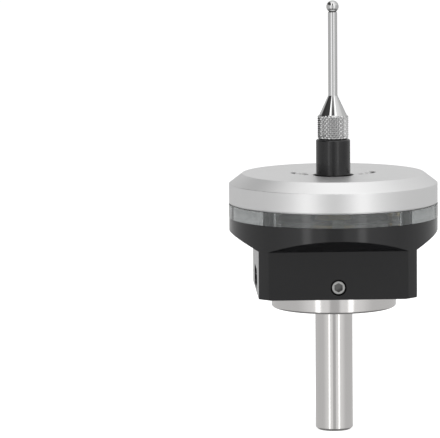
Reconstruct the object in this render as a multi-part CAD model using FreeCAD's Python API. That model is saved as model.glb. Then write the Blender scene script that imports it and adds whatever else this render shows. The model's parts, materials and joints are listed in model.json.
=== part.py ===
"""A touch-trigger edge finder for a milling spindle, built as separate pieces.

The shank points down (-Z) and the stylus points up (+Z). The origin is on the axis, in the plane
of the shoulder where the shank meets its flange. Sizes are in millimetres.
"""
import FreeCAD, Part
import math
import os

from FreeCAD import Vector, Rotation, Placement

os.makedirs("parts", exist_ok=True)

# ---- driving dimensions -------------------------------------------------------------------------

# Shank: one turned piece with its flange and its spigot
SHANK_D = 6.0
SHANK_L = 20.0
SHANK_CHAMFER = 0.35
SHANK_FILLET = 0.25
FLANGE_D = 20.0
FLANGE_T = 2.67
FLANGE_CHAMFER = 0.25
SPIGOT_D = 9.0
SPIGOT_L = 4.2
CENTRE_HOLE_D = 1.6
CENTRE_HOLE_DEPTH = 1.2

# Housing: a round case milled with four flats, each of which runs out in a sloped ramp
CASE_D = 33.4
HOUSING_H = 11.83
ACROSS_FLATS = 25.0
FLAT_H = 7.63
RAMP_H = 2.1
HOUSING_CHAMFER = 0.3
WEB_T = 1.2
CAVITY_D = 22.0

# Light ring, clamped between the housing and the cap
RING_H = 2.15
RING_PROUD = 0.05
RING_BORE_D = 22.4

# Cap
CAP_H = 4.85
CAP_CHAMFER_H = 1.6
CAP_CHAMFER_W = 2.1
CAP_ROOF_T = 2.0
CAP_CAVITY_D = 24.0
CAP_HOLE_D = 6.6
DISH_D = 13.4
DISH_DEPTH = 0.35
GROOVE_H = 0.2
GROOVE_DEPTH = 0.3

# Boards
MAIN_BOARD_D = 24.2
MAIN_BOARD_HOLE_D = 18.0
MAIN_BOARD_T = 1.0
LED_COUNT = 6
LED_RADIUS = 10.3
LED_SIZE = (0.8, 1.6, 0.7)
USB_BOARD_T = 0.8
USB_BOARD_W = 16.0
USB_BOARD_INNER_X = -5.3
USB_BOARD_OUTER_X = -11.2
CHIP_SIZE = (3.0, 3.0, 0.75)

# Socket for the charging and signal plug, in the flat on the -X side
PORT_Z = 4.85
SOCKET_W = 8.94
SOCKET_H = 3.26
SOCKET_L = 7.2
SOCKET_WALL = 0.3
SOCKET_RECESS = 0.1
TONGUE_W = 6.7
TONGUE_T = 0.7
TONGUE_L = 5.0

# Pin strip between the two boards
PIN_COUNT = 4
PIN_PITCH = 1.27
PIN_D = 0.5
PIN_X = -9.9
PIN_PROUD = 0.4
STRIP_W = 1.4
STRIP_H = 1.5

# Spring contacts between the main board and the seat plate
CONTACT_PIN_D = 1.0
CONTACT_PIN_TIP_D = 0.6
CONTACT_PIN_TIP_L = 1.2
CONTACT_PIN_RADIUS = 10.3
CONTACT_PIN_ANGLES = (14.0, -14.0)

# Three-arm seat: each arm rests in the notch between two balls
SEAT_PLATE_T = 1.2
SEAT_PLATE_HOLE_D = 7.4
SEAT_RADIUS = 6.5
SEAT_BALL_D = 2.0
SEAT_BALL_HALF_SPACING = 1.3
SEAT_BALL_SUNK = 0.2
ARM_D = 1.5
ARM_REACH = 8.0
ARM_ANGLES = (90.0, 210.0, 330.0)
HUB_D = 7.0
HUB_TOP_GAP = 0.4
HUB_BELOW_ARM = 1.55
HUB_BOSS_D = 5.9
HUB_BOSS_H = 1.0

# Stylus and its holder
HOLDER_D = 5.5
HOLDER_PROUD = 5.4
HOLDER_RIM = 0.2
HOLDER_STUD_D = 3.0
STYLUS_STUD_D = 2.0
STYLUS_STUD_L = 4.5
KNURL_D = 5.0
KNURL_H = 3.9
KNURL_CHAMFER = 0.3
CONE_H = 3.1
STEM_D = 1.5
STEM_L = 13.3
STEM_TIP_D = 0.9
BALL_D = 2.0
BALL_NECK_GAP = 0.2

# Return spring and dust seal
SPRING_MEAN_D = 6.9
SPRING_WIRE_D = 0.5
SPRING_TURNS = 4.5
SEAL_FLANGE_D = 8.4
SEAL_FLANGE_T = 0.45
SEAL_LIP_T = 0.4
SEAL_BELOW_DISH = 0.12

# Screws
GRUB_D = 2.5
GRUB_Z = 4.6
GRUB_SOCKET_AF = 1.3
GRUB_SOCKET_DEPTH = 1.5
GRUB_ANGLES = (-90.0, 90.0, 0.0)
GRUB_RECESS = 0.15
CASE_SCREW_D = 2.0
CASE_SCREW_HEAD_D = 3.8
CASE_SCREW_HEAD_H = 1.6
CASE_SCREW_INSET = 2.5    # the screws' axes from the case's round wall
CASE_SCREW_RECESS = 0.3
CASE_SCREW_SOCKET_AF = 1.5
CASE_SCREW_BITE = 2.2
SHANK_SCREW_D = 3.0
SHANK_SCREW_HEAD_D = 5.5
SHANK_SCREW_HEAD_H = 1.6
SHANK_SCREW_SOCKET_AF = 2.0
SHANK_SCREW_BITE = 5.0
SEAT_SCREW_D = 1.6
SEAT_SCREW_HEAD_D = 2.8
SEAT_SCREW_X = 5.4
SEAT_SCREW_RECESS = 0.2
SEAT_SCREW_SLOT_W = 0.35
BOARD_SCREW_D = 1.6
BOARD_SCREW_HEAD_D = 2.6
BOARD_SCREW_HEAD_H = 0.9
BOARD_SCREW_BITE = 2.4
BOARD_SCREW_X = -8.2
BOARD_SCREW_Y = 6.6

# Clearances
FIT = 0.02            # a pressed, glued or threaded fit, in radius
SLIDE = 0.05          # an easy fit, in radius
SCREW_CLEARANCE = 0.1  # a clearance hole for a screw, in radius
POCKET_CLEARANCE = 0.1
FACE_GAP = 0.02       # between parts that a screw or a spring draws together
SEAT_GAP = 0.05       # between an arm and its two balls
BORE_END_GAP = 0.3    # below the end of a screw or a stud in a blind hole

# ---- levels and positions that follow from the dimensions ----------------------------------------

CASE_SCREW_RADIUS = CASE_D / 2 - CASE_SCREW_INSET
Z_FLANGE_TOP = FLANGE_T
Z_HOUSING_TOP = Z_FLANGE_TOP + HOUSING_H
Z_FLAT_TOP = Z_FLANGE_TOP + FLAT_H
Z_RING_TOP = Z_HOUSING_TOP + RING_H
Z_CAP_TOP = Z_RING_TOP + CAP_H
Z_ROOF = Z_CAP_TOP - CAP_ROOF_T
Z_DISH_BOTTOM = Z_CAP_TOP - DISH_DEPTH
Z_SPIGOT_TOP = Z_FLANGE_TOP + SPIGOT_L
Z_WEB_BOTTOM = Z_SPIGOT_TOP + FACE_GAP
Z_WEB_TOP = Z_WEB_BOTTOM + WEB_T
Z_MAIN_BOARD = Z_HOUSING_TOP - MAIN_BOARD_T
Z_SEAT_PLATE = Z_ROOF - SEAT_PLATE_T
Z_BALLS = Z_SEAT_PLATE - SEAT_BALL_SUNK
ARM_TO_BALL = math.sqrt(((ARM_D + SEAT_BALL_D) / 2 + SEAT_GAP) ** 2 - SEAT_BALL_HALF_SPACING ** 2)
Z_ARMS = Z_BALLS - ARM_TO_BALL
Z_HUB_TOP = Z_SEAT_PLATE - HUB_TOP_GAP
Z_HUB_BOTTOM = Z_ARMS - HUB_BELOW_ARM
Z_HOLDER_TOP = Z_CAP_TOP + HOLDER_PROUD
Z_CONE = Z_HOLDER_TOP + KNURL_H
Z_STEM = Z_CONE + CONE_H
Z_STEM_TOP = Z_STEM + STEM_L
SOCKET_MOUTH_X = -ACROSS_FLATS / 2 + SOCKET_RECESS
SOCKET_BACK_X = SOCKET_MOUTH_X + SOCKET_L
Z_USB_BOARD = PORT_Z + SOCKET_H / 2
POCKET_BACK_X = max(SOCKET_BACK_X, USB_BOARD_INNER_X) + POCKET_CLEARANCE

# The stem stops a little short of the ball, where the ball's surface has the stem's radius.
Z_BALL = Z_STEM_TOP + BALL_NECK_GAP + math.sqrt((BALL_D / 2) ** 2 - (STEM_D / 2) ** 2)

CUT = 1.0  # how far a cutting tool runs past the face that it opens


# ---- helpers -------------------------------------------------------------------------------------

def turned(profile):
    """A solid of revolution about Z, from a closed outline of (radius, z) points."""
    points = [Vector(r, 0, z) for r, z in profile]
    face = Part.Face(Part.makePolygon(points + points[:1]))
    return face.revolve(Vector(0, 0, 0), Vector(0, 0, 1), 360)


def rod(diameter, z0, z1, x=0.0, y=0.0, grow=0.0):
    """An upright cylinder between two levels, with its radius grown by a clearance."""
    return Part.makeCylinder(diameter / 2 + grow, z1 - z0, Vector(x, y, z0))


def block(x0, x1, y0, y1, z0, z1):
    return Part.makeBox(x1 - x0, y1 - y0, z1 - z0, Vector(x0, y0, z0))


def hexagon(across_flats, z0, z1):
    """An upright hexagonal prism on the axis."""
    radius = across_flats / math.sqrt(3)
    corners = [Vector(radius * math.cos(math.radians(60 * k)),
                      radius * math.sin(math.radians(60 * k)), z0) for k in range(6)]
    return Part.Face(Part.makePolygon(corners + corners[:1])).extrude(Vector(0, 0, z1 - z0))


def slot_prism(width, height, x0, x1, z_centre):
    """A prism along X whose section is a slot with full round ends, width along Y."""
    r = height / 2
    y = width / 2 - r
    top = [Vector(x0, -y, z_centre + r), Vector(x0, y, z_centre + r)]
    bottom = [Vector(x0, y, z_centre - r), Vector(x0, -y, z_centre - r)]
    edges = [Part.makeLine(*top),
             Part.Arc(top[1], Vector(x0, y + r, z_centre), bottom[0]).toShape(),
             Part.makeLine(*bottom),
             Part.Arc(bottom[1], Vector(x0, -y - r, z_centre), top[0]).toShape()]
    return Part.Face(Part.Wire(edges)).extrude(Vector(x1 - x0, 0, 0))


def turn_z(shape, degrees):
    """A copy turned about the Z axis."""
    copy = shape.copy()
    copy.Placement = Placement(Vector(0, 0, 0), Rotation(Vector(0, 0, 1), degrees)).multiply(copy.Placement)
    return copy


def shift(shape, x=0.0, y=0.0, z=0.0):
    """A copy moved without turning."""
    copy = shape.copy()
    copy.Placement = Placement(Vector(x, y, z), Rotation()).multiply(copy.Placement)
    return copy


def lay_along_x(shape):
    """A copy of an upright shape, turned so that its Z axis points along +X."""
    copy = shape.copy()
    copy.Placement = Placement(Vector(0, 0, 0), Rotation(Vector(0, 1, 0), 90)).multiply(copy.Placement)
    return copy


def corner_points():
    """The four corners of the case, where its screws run."""
    return [(CASE_SCREW_RADIUS * math.cos(math.radians(a)),
             CASE_SCREW_RADIUS * math.sin(math.radians(a))) for a in (45, 135, 225, 315)]


def pin_points():
    """The pins' places along the strip."""
    middle = (PIN_COUNT - 1) / 2
    return [(PIN_X, (k - middle) * PIN_PITCH) for k in range(PIN_COUNT)]


def seat_points():
    """The ball centres: two beside each arm."""
    for angle in ARM_ANGLES:
        a = math.radians(angle)
        for side in (-1, 1):
            across = side * SEAT_BALL_HALF_SPACING
            yield (SEAT_RADIUS * math.cos(a) - across * math.sin(a),
                   SEAT_RADIUS * math.sin(a) + across * math.cos(a))


def save(name, *shapes):
    """Write one node: a single solid, or a group of separate ones."""
    solids = [solid for shape in shapes for solid in shape.Solids]
    node = solids[0] if len(solids) == 1 else Part.makeCompound(solids)
    if not node.isValid():
        raise ValueError(f"{name} is not a valid shape")
    node.exportStep(f"parts/{name}.step")
    print(f"{name}: {len(solids)} solid(s), {node.Volume:.2f} mm3")


# ---- fixed pieces --------------------------------------------------------------------------------

def shank():
    """Shank, flange and spigot turned from one bar, tapped from above for the retaining screw."""
    r, c = SHANK_D / 2, SHANK_CHAMFER
    rf, cf = FLANGE_D / 2, FLANGE_CHAMFER
    rs = SPIGOT_D / 2
    body = turned([(0, -SHANK_L), (r - c, -SHANK_L), (r, -SHANK_L + c), (r, -SHANK_FILLET),
                   (r + SHANK_FILLET, 0), (rf - cf, 0), (rf, cf), (rf, Z_FLANGE_TOP),
                   (rs, Z_FLANGE_TOP), (rs, Z_SPIGOT_TOP), (0, Z_SPIGOT_TOP)])
    tapped = rod(SHANK_SCREW_D, Z_SPIGOT_TOP - SHANK_SCREW_BITE - BORE_END_GAP, Z_SPIGOT_TOP + CUT, grow=FIT)
    centre = turned([(0, -SHANK_L - CUT), (CENTRE_HOLE_D / 2, -SHANK_L - CUT), (CENTRE_HOLE_D / 2, -SHANK_L),
                     (0, -SHANK_L + CENTRE_HOLE_DEPTH)])
    return body.cut(tapped).cut(centre)


def flat_cutter():
    """What the mill takes off the +X side: a flat, and the ramp that it runs out in."""
    half = ACROSS_FLATS / 2
    run = CASE_D / 2 - half
    far = CASE_D / 2 + CUT
    z_far = Z_FLAT_TOP + RAMP_H * (far - half) / run
    z_low = Z_FLANGE_TOP - CUT
    outline = [Vector(half, -CASE_D, z_low), Vector(half, -CASE_D, Z_FLAT_TOP),
               Vector(far, -CASE_D, z_far), Vector(far, -CASE_D, z_low)]
    return Part.Face(Part.makePolygon(outline + outline[:1])).extrude(Vector(0, 2 * CASE_D, 0))


def housing():
    r, c = CASE_D / 2, HOUSING_CHAMFER
    body = turned([(0, Z_FLANGE_TOP + FACE_GAP), (r - c, Z_FLANGE_TOP + FACE_GAP),
                   (r, Z_FLANGE_TOP + FACE_GAP + c), (r, Z_HOUSING_TOP), (0, Z_HOUSING_TOP)])
    for quarter in range(4):
        body = body.cut(turn_z(flat_cutter(), 90 * quarter))

    cuts = [rod(SPIGOT_D, Z_FLANGE_TOP - CUT, Z_WEB_BOTTOM, grow=SLIDE),
            rod(SHANK_SCREW_D, Z_WEB_BOTTOM - CUT, Z_WEB_TOP + CUT, grow=SCREW_CLEARANCE),
            rod(CAVITY_D, Z_WEB_TOP, Z_HOUSING_TOP + CUT),
            rod(MAIN_BOARD_D, Z_MAIN_BOARD, Z_HOUSING_TOP + CUT, grow=SLIDE)]
    for x, y in corner_points():
        cuts.append(rod(CASE_SCREW_D, Z_FLANGE_TOP - CUT, Z_HOUSING_TOP + CUT, x, y, SCREW_CLEARANCE))
        cuts.append(rod(CASE_SCREW_HEAD_D, Z_FLANGE_TOP - CUT, z_case_screw_head_top(), x, y, SCREW_CLEARANCE))
    for angle in GRUB_ANGLES:
        bore = Part.makeCylinder(GRUB_D / 2 + FIT, CASE_D, Vector(SPIGOT_D / 4, 0, GRUB_Z), Vector(1, 0, 0))
        cuts.append(turn_z(bore, angle))

    # The socket's pocket opens upwards, and is wider where the board's ends rest on ledges.
    gap = POCKET_CLEARANCE
    pocket_outer_x = USB_BOARD_OUTER_X - gap
    half_socket = SOCKET_W / 2 + gap
    half_board = USB_BOARD_W / 2 + gap
    cuts.append(block(pocket_outer_x, POCKET_BACK_X, -half_socket, half_socket,
                      PORT_Z - SOCKET_H / 2 - SLIDE, Z_WEB_TOP + CUT))
    cuts.append(block(pocket_outer_x, POCKET_BACK_X, -half_board, half_board,
                      Z_USB_BOARD - FACE_GAP, Z_WEB_TOP + CUT))
    cuts.append(slot_prism(SOCKET_W + 2 * SLIDE, SOCKET_H + 2 * SLIDE,
                           -CASE_D / 2, pocket_outer_x + CUT, PORT_Z))
    for side in (-1, 1):
        cuts.append(rod(BOARD_SCREW_D, Z_USB_BOARD - BOARD_SCREW_BITE - BORE_END_GAP, Z_USB_BOARD + CUT,
                        BOARD_SCREW_X, side * BOARD_SCREW_Y, FIT))
    return body.cut(cuts)


def light_ring():
    outer = CASE_D + 2 * RING_PROUD
    ring = rod(outer, Z_HOUSING_TOP + FACE_GAP, Z_RING_TOP - FACE_GAP)
    cuts = [rod(RING_BORE_D, Z_HOUSING_TOP - CUT, Z_RING_TOP + CUT)]
    cuts += [rod(CASE_SCREW_D, Z_HOUSING_TOP - CUT, Z_RING_TOP + CUT, x, y, SCREW_CLEARANCE)
             for x, y in corner_points()]
    return ring.cut(cuts)


def z_dish(radius):
    """The level of the cap's dished top face at a radius inside the dish."""
    share = (DISH_D / 2 - radius) / (DISH_D / 2 - CAP_HOLE_D / 2)
    return Z_CAP_TOP - DISH_DEPTH * min(max(share, 0.0), 1.0)


def cap():
    r, rc = CASE_D / 2, CAP_CAVITY_D / 2
    profile = [(rc, Z_RING_TOP), (r - GROOVE_DEPTH, Z_RING_TOP), (r - GROOVE_DEPTH, Z_RING_TOP + GROOVE_H),
               (r, Z_RING_TOP + GROOVE_H), (r, Z_CAP_TOP - CAP_CHAMFER_H), (r - CAP_CHAMFER_W, Z_CAP_TOP),
               (DISH_D / 2, Z_CAP_TOP), (CAP_HOLE_D / 2, Z_DISH_BOTTOM), (CAP_HOLE_D / 2, Z_ROOF), (rc, Z_ROOF)]
    cuts = [rod(SEAL_FLANGE_D, Z_ROOF - CUT, Z_ROOF + SEAL_FLANGE_T + FACE_GAP, grow=SLIDE)]
    for x, y in corner_points():
        cuts.append(rod(CASE_SCREW_D, Z_RING_TOP - CUT, z_case_screw_end() + BORE_END_GAP, x, y, FIT))
    for side in (-1, 1):
        cuts.append(shift(seat_screw_hole(), side * SEAT_SCREW_X))
    return turned(profile).cut(cuts)


# ---- boards, socket and contacts -----------------------------------------------------------------

def main_board():
    """A ring board on the housing's shoulder, clamped there by the light ring."""
    board = rod(MAIN_BOARD_D, Z_MAIN_BOARD, Z_HOUSING_TOP)
    cuts = [rod(MAIN_BOARD_HOLE_D, Z_MAIN_BOARD - CUT, Z_HOUSING_TOP + CUT)]
    cuts += [rod(PIN_D, Z_MAIN_BOARD - CUT, Z_HOUSING_TOP + CUT, x, y, SLIDE) for x, y in pin_points()]
    return board.cut(cuts)


def leds():
    depth, width, height = LED_SIZE
    chip = block(LED_RADIUS - depth / 2, LED_RADIUS + depth / 2, -width / 2, width / 2,
                 Z_HOUSING_TOP, Z_HOUSING_TOP + height)
    step = 360 / LED_COUNT
    return [turn_z(chip, step * (k + 0.5)) for k in range(LED_COUNT)]


def usb_board():
    board = block(USB_BOARD_OUTER_X, USB_BOARD_INNER_X, -USB_BOARD_W / 2, USB_BOARD_W / 2,
                  Z_USB_BOARD, Z_USB_BOARD + USB_BOARD_T)
    z0, z1 = Z_USB_BOARD - CUT, Z_USB_BOARD + USB_BOARD_T + CUT
    cuts = [rod(PIN_D, z0, z1, x, y, SLIDE) for x, y in pin_points()]
    cuts += [rod(BOARD_SCREW_D, z0, z1, BOARD_SCREW_X, side * BOARD_SCREW_Y, SCREW_CLEARANCE)
             for side in (-1, 1)]
    return board.cut(cuts)


def control_chip():
    length, width, height = CHIP_SIZE
    x = (USB_BOARD_INNER_X + PIN_X + STRIP_W / 2) / 2
    z = Z_USB_BOARD + USB_BOARD_T
    return block(x - length / 2, x + length / 2, -width / 2, width / 2, z, z + height)


def usb_socket():
    """The drawn steel shell, open at the front and closed behind."""
    shell = slot_prism(SOCKET_W, SOCKET_H, SOCKET_MOUTH_X, SOCKET_BACK_X, PORT_Z)
    inside = slot_prism(SOCKET_W - 2 * SOCKET_WALL, SOCKET_H - 2 * SOCKET_WALL,
                        SOCKET_MOUTH_X - CUT, SOCKET_BACK_X - SOCKET_WALL, PORT_Z)
    return shell.cut(inside)


def usb_tongue():
    """The insulator: a plug at the back of the shell and the tongue that carries the contacts."""
    x1 = SOCKET_BACK_X - SOCKET_WALL
    x_plug = x1 - (SOCKET_L - SOCKET_WALL - TONGUE_L - SOCKET_WALL)
    plug = slot_prism(SOCKET_W - 2 * SOCKET_WALL - 2 * FIT, SOCKET_H - 2 * SOCKET_WALL - 2 * FIT,
                      x_plug, x1, PORT_Z)
    tongue = block(x_plug - TONGUE_L, x_plug + FACE_GAP, -TONGUE_W / 2, TONGUE_W / 2,
                   PORT_Z - TONGUE_T / 2, PORT_Z + TONGUE_T / 2)
    return plug.fuse(tongue).removeSplitter()


def pin_strip():
    """The moulded strip that holds the pins, on the socket's board."""
    length = PIN_COUNT * PIN_PITCH
    z = Z_USB_BOARD + USB_BOARD_T
    strip = block(PIN_X - STRIP_W / 2, PIN_X + STRIP_W / 2, -length / 2, length / 2, z, z + STRIP_H)
    return strip.cut([rod(PIN_D, z - CUT, z + STRIP_H + CUT, x, y, FIT) for x, y in pin_points()])


def board_pins():
    return [rod(PIN_D, Z_USB_BOARD + FACE_GAP, Z_HOUSING_TOP + PIN_PROUD, x, y) for x, y in pin_points()]


def contact_pins():
    """Sprung pins that carry the seat's circuit down to the main board."""
    r, tip = CONTACT_PIN_D / 2, CONTACT_PIN_TIP_D / 2
    z_step = Z_SEAT_PLATE - CONTACT_PIN_TIP_L
    pin = turned([(0, Z_HOUSING_TOP), (r, Z_HOUSING_TOP), (r, z_step), (tip, z_step),
                  (tip, Z_SEAT_PLATE - tip), (0, Z_SEAT_PLATE)])
    pin = shift(pin, CONTACT_PIN_RADIUS)
    return [turn_z(pin, angle) for angle in CONTACT_PIN_ANGLES]


# ---- the three-arm seat --------------------------------------------------------------------------

def seat_plate():
    """The insulating plate under the cap's roof that holds the six balls."""
    plate = rod(CAP_CAVITY_D, Z_SEAT_PLATE, Z_ROOF, grow=-SLIDE)
    cuts = [rod(SEAT_PLATE_HOLE_D, Z_SEAT_PLATE - CUT, Z_ROOF + CUT)]
    top = Z_BALLS + SEAT_BALL_D / 2 + FIT
    cuts += [rod(SEAT_BALL_D, Z_SEAT_PLATE - CUT, top, x, y, FIT) for x, y in seat_points()]
    cuts += [rod(SEAT_SCREW_D, Z_SEAT_PLATE - CUT, Z_ROOF + CUT, side * SEAT_SCREW_X, 0, FIT)
             for side in (-1, 1)]
    return plate.cut(cuts)


def seat_balls():
    return [Part.makeSphere(SEAT_BALL_D / 2, Vector(x, y, Z_BALLS)) for x, y in seat_points()]


def arm(inner, outer, grow=0.0):
    """A radial rod along +X at the arms' level."""
    return Part.makeCylinder(ARM_D / 2 + grow, outer - inner, Vector(inner, 0, Z_ARMS), Vector(1, 0, 0))


def contact_hub():
    """The hub that holds the three arms, with a boss below that centres the spring."""
    body = rod(HUB_D, Z_HUB_BOTTOM, Z_HUB_TOP)
    boss = rod(HUB_BOSS_D, Z_HUB_BOTTOM - HUB_BOSS_H, Z_HUB_BOTTOM)
    cuts = [rod(HOLDER_STUD_D, Z_HUB_BOTTOM - HUB_BOSS_H - CUT, Z_HUB_TOP + CUT, grow=FIT)]
    cuts += [turn_z(arm(0, HUB_D, FIT), angle) for angle in ARM_ANGLES]
    return body.fuse(boss).removeSplitter().cut(cuts)


def contact_arms():
    inner = HOLDER_STUD_D / 2 + SLIDE
    one = arm(inner, ARM_REACH).cut(rod(HOLDER_STUD_D, Z_ARMS - ARM_D, Z_ARMS + ARM_D, grow=SLIDE))
    return [turn_z(one, angle) for angle in ARM_ANGLES]


# ---- stylus --------------------------------------------------------------------------------------

def stylus_holder():
    r, rs, rim = HOLDER_D / 2, HOLDER_STUD_D / 2, HOLDER_RIM
    z_stud = Z_HUB_BOTTOM - HUB_BOSS_H
    body = turned([(0, z_stud), (rs, z_stud), (rs, Z_HUB_TOP), (r, Z_HUB_TOP),
                   (r, Z_HOLDER_TOP - rim), (r - rim, Z_HOLDER_TOP), (0, Z_HOLDER_TOP)])
    bore = rod(STYLUS_STUD_D, Z_HOLDER_TOP - STYLUS_STUD_L - BORE_END_GAP, Z_HOLDER_TOP + CUT, grow=FIT)
    return body.cut(bore)


def stylus():
    """Stud, knurled grip, cone and stem turned as one piece."""
    stud, grip, stem, tip = STYLUS_STUD_D / 2, KNURL_D / 2, STEM_D / 2, STEM_TIP_D / 2
    c = KNURL_CHAMFER
    z0 = Z_HOLDER_TOP
    return turned([(0, z0 - STYLUS_STUD_L), (stud, z0 - STYLUS_STUD_L), (stud, z0), (grip - c, z0),
                   (grip, z0 + c), (grip, Z_CONE - c), (grip - c, Z_CONE), (stem, Z_STEM),
                   (stem, Z_STEM_TOP), (tip, Z_STEM_TOP), (tip, Z_BALL), (0, Z_BALL)])


def stylus_ball():
    ball = Part.makeSphere(BALL_D / 2, Vector(0, 0, Z_BALL))
    return ball.cut(rod(STEM_TIP_D, Z_BALL - BALL_D, Z_BALL + FACE_GAP, grow=FIT))


# ---- spring and seal -----------------------------------------------------------------------------

def return_spring():
    """A round-wire compression spring between the housing's web and the hub."""
    r = SPRING_WIRE_D / 2
    z0 = Z_WEB_TOP + r + FACE_GAP
    height = Z_HUB_BOTTOM - r - FACE_GAP - z0
    path = Part.makeHelix(height / SPRING_TURNS, height, SPRING_MEAN_D / 2)
    path.translate(Vector(0, 0, z0))
    section = Part.Wire(Part.makeCircle(r, Vector(SPRING_MEAN_D / 2, 0, z0), Vector(0, 1, 0)))
    return Part.Wire(path).makePipeShell([section], True, True)


def dust_seal():
    """A rubber ring: its flange is clamped under the roof, its lip closes the gap round the holder."""
    inner = HOLDER_D / 2 + SLIDE
    lip = inner + SEAL_LIP_T
    flange = SEAL_FLANGE_D / 2
    z_flange = Z_ROOF + SEAL_FLANGE_T
    z_top = Z_DISH_BOTTOM - SEAL_BELOW_DISH
    return turned([(inner, Z_ROOF), (flange, Z_ROOF), (flange, z_flange), (lip, z_flange),
                   (lip, z_top), (inner, z_top)])


# ---- screws --------------------------------------------------------------------------------------

def z_case_screw_head_top():
    return Z_FLANGE_TOP + CASE_SCREW_RECESS + CASE_SCREW_HEAD_H


def z_case_screw_end():
    return Z_RING_TOP + CASE_SCREW_BITE


def case_screws():
    """Four cap screws from below, through the housing and the light ring, into the cap."""
    z_head = z_case_screw_head_top()
    z_bottom = z_head - CASE_SCREW_HEAD_H
    head = rod(CASE_SCREW_HEAD_D, z_bottom, z_head)
    stem = rod(CASE_SCREW_D, z_head, z_case_screw_end())
    drive = hexagon(CASE_SCREW_SOCKET_AF, z_bottom - CUT, z_bottom + CASE_SCREW_HEAD_H / 2)
    screw = head.fuse(stem).removeSplitter().cut(drive)
    return [shift(screw, x, y) for x, y in corner_points()]


def shank_screw():
    """A cap screw that draws the spigot up against the housing's web."""
    z_head = Z_WEB_TOP + SHANK_SCREW_HEAD_H
    head = rod(SHANK_SCREW_HEAD_D, Z_WEB_TOP, z_head)
    stem = rod(SHANK_SCREW_D, Z_SPIGOT_TOP - SHANK_SCREW_BITE, Z_WEB_TOP)
    drive = hexagon(SHANK_SCREW_SOCKET_AF, z_head - SHANK_SCREW_HEAD_H / 2, z_head + CUT)
    return head.fuse(stem).removeSplitter().cut(drive)


def grub_screws():
    """Set screws in the flats, which centre the spigot in its bore."""
    tip = SPIGOT_D / 2 + FACE_GAP
    face = ACROSS_FLATS / 2 - GRUB_RECESS
    r = GRUB_D / 2
    c = r / 5
    body = turned([(0, tip), (r - c, tip), (r, tip + c), (r, face - c), (r - c, face), (0, face)])
    screw = shift(lay_along_x(body.cut(hexagon(GRUB_SOCKET_AF, face - GRUB_SOCKET_DEPTH, face + CUT))), z=GRUB_Z)
    return [turn_z(screw, angle) for angle in GRUB_ANGLES]


def z_seat_screw_head():
    return z_dish(SEAT_SCREW_X) - SEAT_SCREW_RECESS


def seat_screw_hole():
    """The hole in the cap's roof for a seat screw: bore, countersink and recess."""
    head, bore = SEAT_SCREW_HEAD_D / 2 + SLIDE, SEAT_SCREW_D / 2 + SCREW_CLEARANCE
    z = z_seat_screw_head()
    z_neck = z - (SEAT_SCREW_HEAD_D - SEAT_SCREW_D) / 2 - FACE_GAP
    return turned([(0, Z_ROOF - CUT), (bore, Z_ROOF - CUT), (bore, z_neck), (head, z), (head, Z_CAP_TOP + CUT),
                   (0, Z_CAP_TOP + CUT)])


def seat_screws():
    """Two countersunk screws that hold the seat plate up against the roof."""
    head, stem = SEAT_SCREW_HEAD_D / 2, SEAT_SCREW_D / 2
    z = z_seat_screw_head()
    slot = block(-head, head, -SEAT_SCREW_SLOT_W / 2, SEAT_SCREW_SLOT_W / 2, z - SEAT_SCREW_SLOT_W, z + CUT)
    screw = turned([(0, Z_SEAT_PLATE), (stem, Z_SEAT_PLATE), (stem, z - (head - stem)), (head, z), (0, z)])
    return [shift(screw.cut(slot), side * SEAT_SCREW_X) for side in (-1, 1)]


def board_screws():
    z = Z_USB_BOARD + USB_BOARD_T
    head = rod(BOARD_SCREW_HEAD_D, z, z + BOARD_SCREW_HEAD_H)
    stem = rod(BOARD_SCREW_D, Z_USB_BOARD - BOARD_SCREW_BITE, z)
    drive = hexagon(BOARD_SCREW_D / 2, z + BOARD_SCREW_HEAD_H / 2, z + BOARD_SCREW_HEAD_H + CUT)
    screw = head.fuse(stem).removeSplitter().cut(drive)
    return [shift(screw, BOARD_SCREW_X, side * BOARD_SCREW_Y) for side in (-1, 1)]


# ---- write the nodes -----------------------------------------------------------------------------

save("shank", shank())
save("housing", housing())
save("light_ring", light_ring())
save("cap", cap())
save("main_board", main_board())
save("leds", *leds())
save("usb_board", usb_board())
save("control_chip", control_chip())
save("usb_socket", usb_socket())
save("usb_tongue", usb_tongue())
save("pin_strip", pin_strip())
save("board_pins", *board_pins())
save("contact_pins", *contact_pins())
save("seat_plate", seat_plate())
save("seat_balls", *seat_balls())
save("contact_hub", contact_hub())
save("contact_arms", *contact_arms())
save("stylus_holder", stylus_holder())
save("stylus", stylus())
save("stylus_ball", stylus_ball())
save("return_spring", return_spring())
save("dust_seal", dust_seal())
save("case_screws", *case_screws())
save("shank_screw", shank_screw())
save("grub_screws", *grub_screws())
save("seat_screws", *seat_screws())
save("board_screws", *board_screws())
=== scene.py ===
# %% [markdown]
# An edge finder for a milling spindle, finished as the real one is.
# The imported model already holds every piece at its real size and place, so this script only adds
# what the solids leave plain: rounded edges, the knurl, the finishes, the light and the camera.

# %% Load the frame
import json
import math

import bpy
import numpy as np
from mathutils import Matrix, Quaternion, Vector


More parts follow.
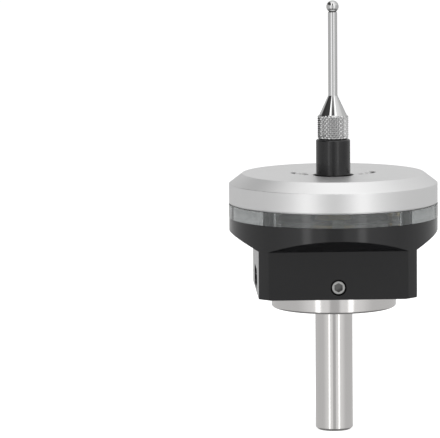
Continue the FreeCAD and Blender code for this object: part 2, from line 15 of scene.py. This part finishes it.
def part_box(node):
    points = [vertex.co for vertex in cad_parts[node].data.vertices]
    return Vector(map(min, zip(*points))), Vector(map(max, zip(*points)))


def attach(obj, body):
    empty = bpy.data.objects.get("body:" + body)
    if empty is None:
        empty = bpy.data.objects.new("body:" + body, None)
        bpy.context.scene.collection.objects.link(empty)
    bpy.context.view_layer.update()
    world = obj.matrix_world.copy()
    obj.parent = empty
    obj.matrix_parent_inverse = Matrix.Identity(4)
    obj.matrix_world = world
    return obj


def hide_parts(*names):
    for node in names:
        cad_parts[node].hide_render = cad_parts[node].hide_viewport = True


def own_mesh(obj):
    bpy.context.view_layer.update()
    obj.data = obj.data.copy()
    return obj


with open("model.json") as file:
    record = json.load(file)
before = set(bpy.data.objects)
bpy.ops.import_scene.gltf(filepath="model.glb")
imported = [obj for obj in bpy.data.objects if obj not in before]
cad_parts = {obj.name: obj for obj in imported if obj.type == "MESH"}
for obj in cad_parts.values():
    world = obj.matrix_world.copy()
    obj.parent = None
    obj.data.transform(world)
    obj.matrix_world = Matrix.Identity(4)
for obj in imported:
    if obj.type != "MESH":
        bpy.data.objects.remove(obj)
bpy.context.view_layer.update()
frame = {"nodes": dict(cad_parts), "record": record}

MM = 0.001
nodes = frame["nodes"]

# %% [markdown]
# Most visible pieces were turned on a lathe. A lathe's edge is never perfectly sharp: the small
# round on it catches a thin bright line, and that line is what tells the eye the size of the thing.
# So each turned piece is drawn again as a surface of revolution from its outline, with every
# corner rounded. The outline's levels are read from the solids' boxes.


# %% Helper: a mesh from a grid of points
def grid_mesh(name, points, wrap_rows=False):
    """A surface from an array of points [row, column, xyz].

    Columns always close on themselves. With wrap_rows the rows close too, as on a ring.
    A face joins point (i, j) with its neighbours (i, j+1), (i+1, j+1) and (i+1, j).
    """
    rows, columns = points.shape[:2]
    index = np.arange(rows * columns).reshape(rows, columns)
    below = index if wrap_rows else index[:-1]
    above = np.roll(index, -1, 0) if wrap_rows else index[1:]
    corners = [below, np.roll(below, -1, 1), np.roll(above, -1, 1), above]
    faces = np.stack(corners, -1).reshape(-1, 4)
    caps = [] if wrap_rows else [index[0][::-1].tolist(), index[-1].tolist()]
    mesh = bpy.data.meshes.new(name)
    mesh.from_pydata(points.reshape(-1, 3).tolist(), [], faces.tolist() + caps)
    mesh.polygons.foreach_set("use_smooth", np.ones(len(mesh.polygons), bool))
    mesh.update()
    piece = bpy.data.objects.new(name, mesh)
    bpy.context.scene.collection.objects.link(piece)
    return piece


# %% Helper: an outline with rounded corners
MOST_OF_SIDE = 0.45    # a round takes at most this share of a side
SAME_POINT = 1e-6      # points nearer than this, in mm, are one point


def rounded(outline, closed, steps=5):
    """Replaces each corner of a (radius, z, round) outline with a quadratic arc.

    The arc leaves one side at the distance `round` from the corner and joins the next side at the
    same distance: point(t) = (1-t)^2 start + 2t(1-t) corner + t^2 end.
    """
    corner = np.array([(r, z) for r, z, _ in outline], float)
    size = np.array([s for _, _, s in outline], float)[:, None]
    before, after = np.roll(corner, 1, 0) - corner, np.roll(corner, -1, 0) - corner
    side_before = np.linalg.norm(before, axis=1, keepdims=True)
    side_after = np.linalg.norm(after, axis=1, keepdims=True)
    start = corner + before / side_before * np.minimum(size, MOST_OF_SIDE * side_before)
    end = corner + after / side_after * np.minimum(size, MOST_OF_SIDE * side_after)
    if not closed:
        start[0] = end[0] = corner[0]
        start[-1] = end[-1] = corner[-1]
    t = np.linspace(0, 1, steps)[None, :, None]
    arc = (1 - t) ** 2 * start[:, None] + 2 * t * (1 - t) * corner[:, None] + t ** 2 * end[:, None]
    points = arc.reshape(-1, 2)
    apart = np.linalg.norm(points - np.roll(points, 1, 0), axis=1) > SAME_POINT
    return points[apart]


# %% Helper: a turned piece
def turned(name, outline, closed=False, around=192):
    """Spins an outline about Z: x = r cos a, y = r sin a, with `around` even steps of a."""
    profile = rounded(outline, closed)
    a = np.linspace(0, 2 * math.pi, around, endpoint=False)
    r, z = profile[:, 0, None], profile[:, 1, None]
    points = np.stack([r * np.cos(a), r * np.sin(a), z + 0 * a], -1) * MM
    return grid_mesh(name, points, wrap_rows=closed)


# %% Helper: where a node lies
POLE_R = 0.02    # an outline stops this near the axis, in mm, and a small cap closes it


def levels(node):
    """The lowest and highest level of a node, and its largest radius, in millimetres."""
    low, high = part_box(node)
    return low.z / MM, high.z / MM, high.x / MM


# %% [markdown]
# A finish is a base colour plus the marks its process leaves. Bead blasting leaves a fine even
# grain, turning leaves rings round the axis, moulding leaves an orange-peel sheen. Each material
# below is one Principled shader with those marks as bump and as small changes of roughness.
# A second, broad noise shifts the colour a little, because no real surface is all one shade.


# %% Helper: a material with its process marks
BROAD_PITCH, NOISE_DETAIL, SMOOTHEST = 6, 3, 0.02


def finish(name, colour, metallic, roughness, grain=0.0, grain_size=0.1, stretch=(1, 1, 1),
           rough_spread=0.0, tint=0.0, **sockets):
    """A Principled material. Noise on Object coordinates drives bump, roughness and a slight tint.

    grain is the bump's height in mm, grain_size its pitch in mm, and stretch scales the pattern
    along each axis, so that (1, 1, 12) gives the fine rings of a lathe.
    """
    material = bpy.data.materials.new(name)
    material.use_nodes = True
    tree = material.node_tree
    shader = tree.nodes["Principled BSDF"]
    shader.inputs["Base Color"].default_value = (*colour, 1)
    shader.inputs["Metallic"].default_value = metallic
    shader.inputs["Roughness"].default_value = roughness
    for socket, value in sockets.items():
        shader.inputs[socket.replace("_", " ")].default_value = value
    where = tree.nodes.new("ShaderNodeTexCoord")
    mapping = tree.nodes.new("ShaderNodeMapping")
    mapping.inputs["Scale"].default_value = stretch
    tree.links.new(where.outputs["Object"], mapping.inputs["Vector"])
    noise = tree.nodes.new("ShaderNodeTexNoise")
    noise.inputs["Scale"].default_value = 1 / (grain_size * MM)
    noise.inputs["Detail"].default_value = NOISE_DETAIL
    tree.links.new(mapping.outputs["Vector"], noise.inputs["Vector"])
    if grain:
        bump = tree.nodes.new("ShaderNodeBump")
        bump.inputs["Strength"].default_value = 1
        bump.inputs["Distance"].default_value = grain * MM
        tree.links.new(noise.outputs["Fac"], bump.inputs["Height"])
        tree.links.new(bump.outputs["Normal"], shader.inputs["Normal"])
    spread = tree.nodes.new("ShaderNodeMapRange")
    spread.inputs["To Min"].default_value = max(roughness - rough_spread, SMOOTHEST)
    spread.inputs["To Max"].default_value = roughness + rough_spread
    tree.links.new(noise.outputs["Fac"], spread.inputs["Value"])
    tree.links.new(spread.outputs["Result"], shader.inputs["Roughness"])
    broad = tree.nodes.new("ShaderNodeTexNoise")
    broad.inputs["Scale"].default_value = 1 / (BROAD_PITCH * MM)
    tree.links.new(where.outputs["Object"], broad.inputs["Vector"])
    shade = tree.nodes.new("ShaderNodeValToRGB")
    for stop, factor in zip(shade.color_ramp.elements, (1 - tint, 1.0)):
        stop.color = (*[c * factor for c in colour], 1)
    tree.links.new(broad.outputs["Fac"], shade.inputs["Fac"])
    tree.links.new(shade.outputs["Color"], shader.inputs["Base Color"])
    return material


# %% The finishes that show
LATHE = (1, 1, 10)
finishes = {
    "ground_steel": finish("ground_steel", (0.70, 0.685, 0.675), 1, 0.13, 0.0002, 0.5, LATHE,
                           0.03, 0.05),
    "black_anodised": finish("black_anodised", (0.013, 0.013, 0.014), 0, 0.15, 0.0012, 0.12,
                             rough_spread=0.03, tint=0.15),
    "blasted_aluminium": finish("blasted_aluminium", (0.84, 0.84, 0.84), 1, 0.4, 0.003, 0.09,
                                rough_spread=0.05, tint=0.04),
    "smoked_acrylic": finish("smoked_acrylic", (0.62, 0.645, 0.645), 0, 0.05, 0.001, 1.2,
                             rough_spread=0.02, tint=0.04, Transmission_Weight=0.85, IOR=1.49),
    "black_holder": finish("black_holder", (0.012, 0.012, 0.013), 0, 0.2, 0.0008, 0.5, LATHE,
                           0.05, 0.1),
    "polished_steel": finish("polished_steel", (0.62, 0.62, 0.62), 1, 0.07, 0.0001, 0.5, LATHE,
                             0.02, 0.05),
    "black_rubber": finish("black_rubber", (0.01, 0.01, 0.01), 0, 0.24, 0.002, 0.3,
                           rough_spread=0.06, tint=0.2),
    "screw_steel": finish("screw_steel", (0.6, 0.6, 0.59), 1, 0.2, 0.001, 0.3,
                          rough_spread=0.06, tint=0.1),
}
print("finishes that show:", len(finishes))

# %% [markdown]
# The pieces inside get their own finishes too. The light ring is clear enough to show the board
# and its lamps, and a part may be opened or cut away later.

# %% The finishes inside
finishes.update({
    "spring_steel": finish("spring_steel", (0.45, 0.45, 0.44), 1, 0.25, 0.001, 0.3,
                           rough_spread=0.05, tint=0.1),
    "board_laminate": finish("board_laminate", (0.02, 0.11, 0.05), 0, 0.3, 0.003, 0.6,
                             rough_spread=0.05, tint=0.25),
    "plate_laminate": finish("plate_laminate", (0.45, 0.38, 0.16), 0, 0.5, 0.004, 0.4,
                             rough_spread=0.08, tint=0.2),
    "black_plastic": finish("black_plastic", (0.02, 0.02, 0.02), 0, 0.4, 0.003, 0.2,
                            rough_spread=0.06, tint=0.15),
    "lamp_plastic": finish("lamp_plastic", (0.85, 0.83, 0.72), 0, 0.2, 0.002, 0.4,
                           rough_spread=0.04, tint=0.1),
    "gold_contact": finish("gold_contact", (0.80, 0.58, 0.24), 1, 0.22, 0.001, 0.3,
                           rough_spread=0.05, tint=0.1),
    "hub_brass": finish("hub_brass", (0.70, 0.55, 0.27), 1, 0.3, 0.002, 0.4, LATHE, 0.05, 0.1),
})
slot_of = {entry["node"]: entry["material_slot"] for entry in frame["record"]["subparts"]}
for node_name, node_object in nodes.items():
    for material_slot in node_object.material_slots:
        material_slot.material = finishes[slot_of[node_name]]
print("finishes:", len(finishes))


# %% Helper: put a finished piece in the place of its node
def dress(piece, node, body):
    """Gives a new piece its node's finish, and makes it ride on the node's body."""
    piece.data.materials.append(finishes[slot_of[node]])
    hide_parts(node)
    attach(piece, body)
    print(piece.name, "has", len(piece.data.polygons), "faces")
    return piece


# %% [markdown]
# The shank, its flange and its spigot are one bar of steel. Its outline starts at the middle of
# the lower end and climbs to the top of the spigot. The fillet where the shank meets the flange is
# a long round, and the flange's edges are short ones.

# %% Shank
SHANK_R, SHANK_CHAMFER, SHANK_FILLET = 3.0, 0.35, 0.25
FLANGE_CHAMFER, FLANGE_T, SPIGOT_R = 0.25, 2.67, 4.5
CENTRE_R, CENTRE_DEPTH = 0.8, 1.2    # the centre drilled for turning
shank_low, shank_high, flange_r = levels("shank")
shank = turned("shank_turned", [
    (POLE_R, shank_low + CENTRE_DEPTH, 0), (CENTRE_R, shank_low, 0.05),
    (SHANK_R - SHANK_CHAMFER, shank_low, 0.08), (SHANK_R, shank_low + SHANK_CHAMFER, 0.1),
    (SHANK_R, -SHANK_FILLET, 0.1), (SHANK_R + SHANK_FILLET, 0, 0.1),
    (flange_r - FLANGE_CHAMFER, 0, 0.06), (flange_r, FLANGE_CHAMFER, 0.08),
    (flange_r, FLANGE_T, 0.08), (SPIGOT_R, FLANGE_T, 0.03), (SPIGOT_R, shank_high, 0.1),
    (POLE_R, shank_high, 0)])
dress(shank, "shank", "case")

# %% [markdown]
# The cap, the housing and the screws stay as their solids, because their flats, recesses and
# sockets are already there. Only their edges are too sharp. A bevel in the shader rounds the
# shading along each edge, which costs no faces.

# %% Soft edges in the shader
EDGE_ROUND = {"blasted_aluminium": 0.12, "black_anodised": 0.1, "screw_steel": 0.03}
BEVEL_SAMPLES = 6


def soften(material, radius):
    """Rounds hard edges in the shading alone, by this radius in mm, under the material's grain."""
    tree = material.node_tree
    bevel = tree.nodes.new("ShaderNodeBevel")
    bevel.samples = BEVEL_SAMPLES
    bevel.inputs["Radius"].default_value = radius * MM
    for node in tree.nodes:
        if node.type == "BUMP":
            tree.links.new(bevel.outputs["Normal"], node.inputs["Normal"])


for softened, radius in EDGE_ROUND.items():
    soften(finishes[softened], radius)
print("softened:", ", ".join(EDGE_ROUND))

# %% [markdown]
# A hex socket and the grooves of a knurl see little light. Ambient occlusion measures how open a
# point is, and multiplying the colour by it paints shade into those places: a painted shade, not a
# colour of the steel.

# %% Painted shade in recesses
# Painted shade: how far the occlusion looks for each finish, in mm
RECESS_SHADE_DEPTH = {"screw_steel": 1.2, "polished_steel": 0.2}
OPENNESS_SAMPLES = 8


def paint_recess_shade(material, depth):
    """Paints shade into recesses: multiplies the colour by how open a point is, as seen within
    `depth` mm.
    """
    tree = material.node_tree
    shader = tree.nodes["Principled BSDF"]
    colour = shader.inputs["Base Color"].links[0].from_socket
    openness = tree.nodes.new("ShaderNodeAmbientOcclusion")
    openness.inputs["Distance"].default_value = depth * MM
    openness.samples = OPENNESS_SAMPLES
    tree.links.new(colour, openness.inputs["Color"])
    tree.links.new(openness.outputs["Color"], shader.inputs["Base Color"])


# Paint shade into the screw sockets and the knurl grooves
for recessed, depth in RECESS_SHADE_DEPTH.items():
    paint_recess_shade(finishes[recessed], depth)
print("darkened in recesses:", ", ".join(RECESS_SHADE_DEPTH))

# %% [markdown]
# The stylus is turned from one bar, and its grip is knurled. A knurling tool presses two sets of
# crossing grooves into the steel and leaves rows of small diamonds. As a formula, a diamond is the
# smaller of two triangle waves, one for each set of grooves. The radius at angle a and level z is
# r = R - depth + depth * min(crest * wave(n a + k z), crest * wave(n a - k z), 1),
# where a crest above 1 cuts the points slightly flat, as the tool's own wear does.

# %% Stylus with its knurl
KNURL_R, KNURL_H, KNURL_CHAMFER, KNURL_DEPTH = 2.5, 3.9, 0.3, 0.24
KNURL_COUNT, KNURL_ROWS = 24, 5          # diamonds round the grip and up it
KNURL_STEPS, KNURL_CREST = 16, 1.15      # grid steps across a diamond, and the cut of its point
CONE_H, STEM_R, STEM_L = 3.1, 0.75, 13.3
STEM_TIP_R, STEM_TIP_L = 0.45, 0.8       # the pin that the ball sits on
STUD_R, STUD_L = 1.0, 4.5
holder_low, holder_high, holder_r = levels("stylus_holder")


def triangle_wave(phase):
    """Rises from 0 to 1 and falls back to 0 over each unit of phase."""
    return 1 - np.abs(2 * (phase - np.floor(phase)) - 1)


def knurled_stylus(name):
    """The stylus's outline spun about Z, with the two crossing triangle waves on the grip."""
    around, rows = KNURL_COUNT * KNURL_STEPS, KNURL_ROWS * KNURL_STEPS + 1
    z0, z1 = holder_high, holder_high + KNURL_H
    grip_z = np.linspace(z0 + KNURL_CHAMFER, z1 - KNURL_CHAMFER, rows)
    stem_z = z1 + CONE_H
    lower = rounded([(POLE_R, z0 - STUD_L, 0), (STUD_R, z0 - STUD_L, 0.1), (STUD_R, z0, 0.03),
                     (KNURL_R - KNURL_CHAMFER, z0, 0.04), (KNURL_R, grip_z[0], 0)], False)[:-1]
    upper = rounded([(KNURL_R, grip_z[-1], 0), (KNURL_R - KNURL_CHAMFER, z1, 0.08),
                     (STEM_R, stem_z, 0.12), (STEM_R, stem_z + STEM_L, 0.06),
                     (STEM_TIP_R, stem_z + STEM_L, 0.03),
                     (STEM_TIP_R, stem_z + STEM_L + STEM_TIP_L, 0)],
                    False)[1:]
    r = np.concatenate([lower[:, 0], np.full(rows, KNURL_R), upper[:, 0]])
    z = np.concatenate([lower[:, 1], grip_z, upper[:, 1]])
    a = np.linspace(0, 2 * math.pi, around, endpoint=False)
    turns = KNURL_COUNT * a[None, :] / (2 * math.pi)
    climb = KNURL_ROWS * (z[:, None] - grip_z[0]) / (grip_z[-1] - grip_z[0])
    diamond = np.minimum(triangle_wave(turns + climb), triangle_wave(turns - climb))
    on_grip = ((z >= grip_z[0]) & (z <= grip_z[-1]))[:, None]
    groove = KNURL_DEPTH * (1 - np.minimum(KNURL_CREST * diamond, 1))
    radius = r[:, None] - np.where(on_grip, groove, 0)
    points = np.stack([radius * np.cos(a), radius * np.sin(a), z[:, None] + 0 * a], -1) * MM
    return grid_mesh(name, points)


dress(knurled_stylus("stylus_knurled"), "stylus", "stylus")

# %% [markdown]
# The holder is a plain black rod with a small rounded rim, and the ball is a polished sphere.
# Both are smooth and shiny, so their surfaces are fine grids with no flat facet to break a
# reflection.

# %% Holder
HOLDER_STUD_R, HOLDER_RIM, HUB_TOP = 1.5, 0.2, 17.9
holder = turned("holder_turned", [
    (POLE_R, holder_low, 0), (HOLDER_STUD_R, holder_low, 0.1), (HOLDER_STUD_R, HUB_TOP, 0.05),
    (holder_r, HUB_TOP, 0.15), (holder_r, holder_high - HOLDER_RIM, 0.1),
    (holder_r - HOLDER_RIM, holder_high, 0.1), (POLE_R, holder_high, 0)])
dress(holder, "stylus_holder", "stylus")

# %% Ball
BALL_R, POLE_ANGLE = 1.0, 0.01
ball_top = levels("stylus_ball")[1]


def ball(name, radius, z_centre, rings=64, around=96):
    """A sphere: r = R sin t, z = centre - R cos t, with t from pole to pole."""
    t = np.linspace(POLE_ANGLE, math.pi - POLE_ANGLE, rings)[:, None]
    a = np.linspace(0, 2 * math.pi, around, endpoint=False)[None, :]
    r = radius * np.sin(t)
    z = z_centre - radius * np.cos(t) + 0 * a
    return grid_mesh(name, np.stack([r * np.cos(a), r * np.sin(a), z], -1) * MM)


dress(ball("ball_polished", BALL_R, ball_top - BALL_R), "stylus_ball", "stylus")

# %% [markdown]
# The dust seal is a rubber ring clamped in the cap, and the stylus slides and leans inside its lip.
# Rubber gives, so on the real tool its outer edge stays with the cap. Drawn as a rigid ring it
# would tilt out of the cap, so this piece stays on the case, and its lip leaves the rod just the
# room that it needs to lean.

# %% Dust seal
SEAL_LIP_R, SEAL_FLANGE_R, SEAL_FLANGE_T, SEAL_PLAY = 3.24, 4.18, 0.44, 0.03
seal_low, seal_high, _ = levels("dust_seal")
tilt = frame["record"]["behaviour"]["joints"][0]
tilt_slope = math.sin(math.radians(tilt["range_deg"][1]))
lean = (seal_high - tilt["pos_m"][2] / MM) * tilt_slope
SEAL_INNER_R = holder_r + lean + SEAL_PLAY
print("the rod leans", round(lean, 2), "mm inside a lip of radius", round(SEAL_INNER_R, 2))
seal = turned("seal_moulded", [
    (SEAL_INNER_R, seal_low, 0.03), (SEAL_FLANGE_R, seal_low, 0.05),
    (SEAL_FLANGE_R, seal_low + SEAL_FLANGE_T, 0.05), (SEAL_LIP_R, seal_low + SEAL_FLANGE_T, 0.1),
    (SEAL_LIP_R, seal_high, 0.15), (SEAL_INNER_R, seal_high, 0.12)], closed=True)
dress(seal, "dust_seal", "case")

# %% [markdown]
# The return spring is a round wire wound about the axis. When the stylus is pressed in, the coils
# close up towards the web that they stand on.
# They close by a little more than the travel, because at full tilt one side of the hub drops below
# the other.

# %% Return spring
SPRING_R, WIRE_R, SPRING_TURNS = 3.45, 0.24, 4.5
spring_low, spring_high, _ = levels("return_spring")


def coil(name, steps=360, sides=14):
    """A tube of radius w round a helix: centre (R cos t, R sin t, z(t)), section in the plane of
    the outward direction and the wire's own binormal."""
    t = np.linspace(0, 2 * math.pi * SPRING_TURNS, steps)[:, None]
    low, high = spring_low + WIRE_R, spring_high - WIRE_R
    rise = (high - low) / (2 * math.pi * SPRING_TURNS)
    slope = math.atan2(rise, SPRING_R)
    s = np.linspace(0, 2 * math.pi, sides, endpoint=False)[None, :]
    out, up = WIRE_R * np.cos(s), WIRE_R * np.sin(s)
    x = (SPRING_R + out) * np.cos(t) + up * math.sin(slope) * np.sin(t)
    y = (SPRING_R + out) * np.sin(t) - up * math.sin(slope) * np.cos(t)
    z = low + rise * t + up * math.cos(slope)
    return grid_mesh(name, np.stack([x, y, z], -1) * MM)


spring = coil("spring_wound")
spring.data.materials.append(finishes["spring_steel"])
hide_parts("return_spring")
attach(spring, "case")
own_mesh(spring)
print("spring wire runs", round(2 * math.pi * SPRING_R * SPRING_TURNS, 1), "mm")

# %% [markdown]
# The probe stands on a plain pale floor. The camera sees the floor and the world as white, and the
# floor keeps the soft shadow. The metal doesn't mirror the floor, because a wall seen slightly from
# above would show nothing else.

# %% Floor
FLOOR_HALF, FLOOR_COLOUR, FLOOR_ROUGHNESS, FLOOR_GLOW = 1.2, 0.85, 0.9, 0.75
floor_z = shank_low * MM
floor_mesh = bpy.data.meshes.new("floor")
floor_mesh.from_pydata([(-FLOOR_HALF, -FLOOR_HALF, floor_z), (FLOOR_HALF, -FLOOR_HALF, floor_z),
                        (FLOOR_HALF, FLOOR_HALF, floor_z), (-FLOOR_HALF, FLOOR_HALF, floor_z)],
                       [], [(0, 1, 2, 3)])
floor = bpy.data.objects.new("floor", floor_mesh)
bpy.context.scene.collection.objects.link(floor)
floor_material = bpy.data.materials.new("floor_white")
floor_material.use_nodes = True
floor_tree = floor_material.node_tree
floor_shader = floor_tree.nodes["Principled BSDF"]
floor_shader.inputs["Base Color"].default_value = (FLOOR_COLOUR, FLOOR_COLOUR, FLOOR_COLOUR, 1)
floor_shader.inputs["Roughness"].default_value = FLOOR_ROUGHNESS
floor_shader.inputs["Emission Color"].default_value = (1, 1, 1, 1)
light_path = floor_tree.nodes.new("ShaderNodeLightPath")
glow = floor_tree.nodes.new("ShaderNodeMath")
glow.operation = "MULTIPLY"
glow.inputs[1].default_value = FLOOR_GLOW
floor_tree.links.new(light_path.outputs["Is Camera Ray"], glow.inputs[0])
floor_tree.links.new(glow.outputs[0], floor_shader.inputs["Emission Strength"])
floor_mesh.materials.append(floor_material)
floor.visible_glossy = False
print("floor at", round(floor_z / MM, 2), "mm")

# %% [markdown]
# Polished metal has no colour of its own: it shows the room. So the world is three things at once:
# white for the camera, a weak even fill for diffuse surfaces, and for metal and glass a pale room
# with a dark slot straight ahead and a dark corner up on the left. Those two draw the dark stripes
# on the stem, the cone and the ball. The room is worked out from the ray's direction: x points
# right, y to the back and z up.

# %% World: helpers for its nodes
FILL_WORLD, BACK_LEVEL = 0.3, 0.64
FRONT_GAIN, HIGH_GAIN, ZENITH_GAIN, UPPER_GAIN = 0.28, 0.25, 0.35, 0.12
SLOT_LOW, SLOT_HIGH, DARK_DEPTH, UNDER_DEPTH = 0.4, 0.9, 0.93, 0.6
SLOT_SHIFT = 0.03
world = bpy.data.worlds.new("studio")
bpy.context.scene.world = world
world.use_nodes = True
world_tree = world.node_tree


def maths(operation, *values):
    """One Math node. A value is a number, or another node's output."""
    node = world_tree.nodes.new("ShaderNodeMath")
    node.operation = operation
    for socket, value in zip(node.inputs, values):
        if isinstance(value, (int, float)):
            socket.default_value = value
        else:
            world_tree.links.new(value, socket)
    return node.outputs[0]


def ramp(value, start, end):
    """0 before start and 1 past end, with a smooth rise between them."""
    node = world_tree.nodes.new("ShaderNodeMapRange")
    node.interpolation_type = "SMOOTHSTEP"
    node.inputs["From Min"].default_value, node.inputs["From Max"].default_value = start, end
    world_tree.links.new(value, node.inputs["Value"])
    return node.outputs["Result"]


# %% World: the room in the mirror
sight = world_tree.nodes.new("ShaderNodeTexCoord")
axes = world_tree.nodes.new("ShaderNodeSeparateXYZ")
world_tree.links.new(sight.outputs["Generated"], axes.inputs[0])
x, y, z = axes.outputs
in_front = ramp(y, 0.1, -0.1)
high = ramp(z, 0.25, 0.5)
dark_corner = maths("MULTIPLY", ramp(x, -0.4, -0.5), ramp(z, 0.3, 0.42))
slot = maths("MULTIPLY", ramp(maths("ABSOLUTE", maths("ADD", x, SLOT_SHIFT)), 0.2, 0.12), in_front)
slot = maths("MULTIPLY", slot, ramp(z, 0.92, 0.82))
slot_depth = maths("ADD", SLOT_LOW, maths("MULTIPLY", high, SLOT_HIGH - SLOT_LOW))
bright_places = ((ramp(y, -0.2, -0.85), FRONT_GAIN), (maths("MULTIPLY", in_front, high), HIGH_GAIN),
                 (ramp(z, 0.72, 0.95), ZENITH_GAIN), (ramp(z, 0.15, 0.45), UPPER_GAIN))
dark_places = ((slot, slot_depth), (dark_corner, DARK_DEPTH), (ramp(z, -0.4, -0.6), UNDER_DEPTH))
room = BACK_LEVEL
for place, gain in bright_places:
    room = maths("ADD", room, maths("MULTIPLY", place, gain))
for place, depth in dark_places:
    room = maths("MULTIPLY", room, maths("SUBTRACT", 1.0, maths("MULTIPLY", place, depth)))
print("the room has", len(bright_places), "bright places and", len(dark_places), "dark ones")

# %% World: which ray sees what
rays = world_tree.nodes.new("ShaderNodeLightPath")
mirror = maths("MAXIMUM", rays.outputs["Is Glossy Ray"], rays.outputs["Is Transmission Ray"])
strength = world_tree.nodes.new("ShaderNodeMapRange")
strength.inputs["To Min"].default_value = FILL_WORLD
world_tree.links.new(mirror, strength.inputs["Value"])
world_tree.links.new(room, strength.inputs["To Max"])
seen = maths("MAXIMUM", rays.outputs["Is Camera Ray"], strength.outputs["Result"])
sky = world_tree.nodes["Background"]
sky.inputs["Color"].default_value = (1, 1, 1, 1)
world_tree.links.new(seen, sky.inputs["Strength"])

# %% [markdown]
# Two upright strip lamps, one each side of the camera, draw the long bright lines down every turned
# part. The overhead and side lamps only fill the dark plastics, so metal doesn't mirror them.

# %% Lamps
AIM = Vector((0, 0, 14 * MM))
CAMERA_AZIMUTH, CAMERA_ELEVATION, CAMERA_DISTANCE = -3.5, 6.94, 0.604


def direction(azimuth, elevation):
    """The unit vector from the object towards a viewer at this azimuth and elevation."""
    a, e = math.radians(azimuth), math.radians(elevation)
    return Vector((math.sin(a) * math.cos(e), -math.cos(a) * math.cos(e), math.sin(e)))


def lamp(name, azimuth, elevation, distance, width, height, watts):
    data = bpy.data.lights.new(name, "AREA")
    data.shape = "RECTANGLE"
    data.size, data.size_y, data.energy = width, height, watts
    light = bpy.data.objects.new(name, data)
    light.location = AIM + direction(azimuth, elevation) * distance
    light.rotation_euler = (-direction(azimuth, elevation)).to_track_quat("-Z", "Y").to_euler()
    bpy.context.scene.collection.objects.link(light)
    return light


LAMP_DISTANCE, STRIP_SIZE, STRIP_WATTS, STRIP_ELEVATION = 0.5, (0.08, 1.2), 0.31, 8
for name, aside in (("strip_left", -29), ("strip_right", 31.5)):
    lamp(name, CAMERA_AZIMUTH + aside, STRIP_ELEVATION, LAMP_DISTANCE, *STRIP_SIZE, STRIP_WATTS)
FILL_SIZE = 0.5, 0.6
for name, azimuth, elevation, watts in (("overhead", 0, 80, 1.3), ("side_left", -75, 12, 0.4),
                                        ("side_right", 80, 12, 0.4)):
    fill = lamp(name, azimuth, elevation, LAMP_DISTANCE, *FILL_SIZE, watts)
    fill.visible_glossy = False
print("lamps:", len(bpy.data.lights))

# %% [markdown]
# The camera looks from far away with a long lens, so the flat sides stay nearly parallel. It stands
# a little above the cap and a little to the left, which just brings the left flat into view.

# %% Camera
camera_data = bpy.data.cameras.new("camera")
camera = bpy.data.objects.new("camera", camera_data)
bpy.context.scene.collection.objects.link(camera)
bpy.context.scene.camera = camera
VIEW_WIDTH = 70.5 * MM    # what the frame's width covers at the axis
CAMERA_ROLL, SENSOR_WIDTH = -0.26, 36
camera_data.sensor_width = SENSOR_WIDTH
camera_data.lens = SENSOR_WIDTH * CAMERA_DISTANCE / VIEW_WIDTH
camera_data.shift_x = -0.2578
camera_data.clip_start, camera_data.clip_end = 0.05, 10
camera.rotation_mode = "QUATERNION"
back = direction(CAMERA_AZIMUTH, CAMERA_ELEVATION)
camera.location = AIM + back * CAMERA_DISTANCE
roll = Quaternion(back, math.radians(CAMERA_ROLL))
camera.rotation_quaternion = roll @ (-back).to_track_quat("-Z", "Y")
print("lens:", round(camera_data.lens), "mm")
bpy.context.scene.view_settings.view_transform = "Standard"
